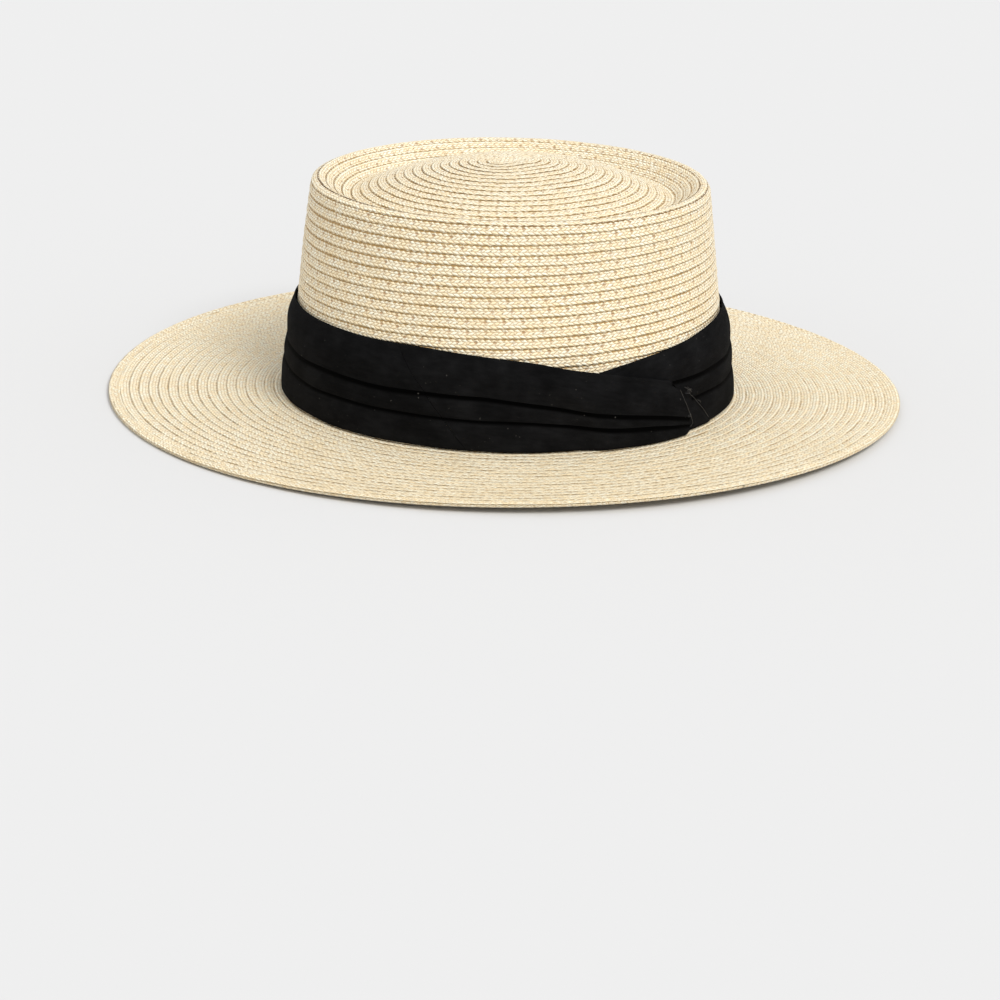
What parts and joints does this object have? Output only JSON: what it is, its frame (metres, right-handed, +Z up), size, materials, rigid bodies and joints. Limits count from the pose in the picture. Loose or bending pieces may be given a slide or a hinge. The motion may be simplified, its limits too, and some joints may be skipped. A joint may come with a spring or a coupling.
{
  "type": "straw sun hat",
  "caption": "Sewn-braid straw sun hat with a flat brim, a low telescoped crown, a black pleated cloth band folded over at the side, and a sweatband inside.",
  "frame": {"origin": "on the surface the hat stands on, at the middle of its bounding box, under the middle of the crown", "axes": "+Z up through the top of the crown, -Y to the front of the hat, +X to the wearer's left; the hat is slightly longer front to back, along Y"},
  "size_m": [0.3272, 0.3338, 0.1001],
  "materials": {
    "straw_braid": "natural pale paper-straw braid, matt with a faint sheen, sewn in lapped courses",
    "band_cloth": "black matt woven cloth, cut on the bias and pleated",
    "band_thread": "black sewing thread",
    "straw_thread": "straw-coloured sewing thread",
    "sweatband_cloth": "cream woven ribbon",
    "tab_cloth": "plain off-white woven tape"
  },
  "bodies": {
    "root": {"tip_button": "straw_braid", "tip_dome": "straw_braid", "tip_channel": "straw_braid", "crown_rim": "straw_braid", "crown_wall": "straw_braid", "crown_foot": "straw_braid", "brim_inner": "straw_braid", "brim_outer": "straw_braid", "brim_edge_braid": "straw_braid", "braid_end": "straw_braid", "brim_edge_stitch_outer": "straw_thread", "brim_edge_stitch_inner": "straw_thread", "band_front_run": "band_cloth", "band_round_run": "band_cloth", "band_end_fold": "band_cloth", "band_tack_front": "band_thread", "band_tack_right": "band_thread", "band_tack_back": "band_thread", "band_tack_left": "band_thread", "fold_stitch_upper": "band_thread", "fold_stitch_lower": "band_thread", "sweatband": "sweatband_cloth", "sweatband_join": "sweatband_cloth", "sweatband_stitch": "straw_thread", "size_tab": "tab_cloth"}
  },
  "joints": []
}
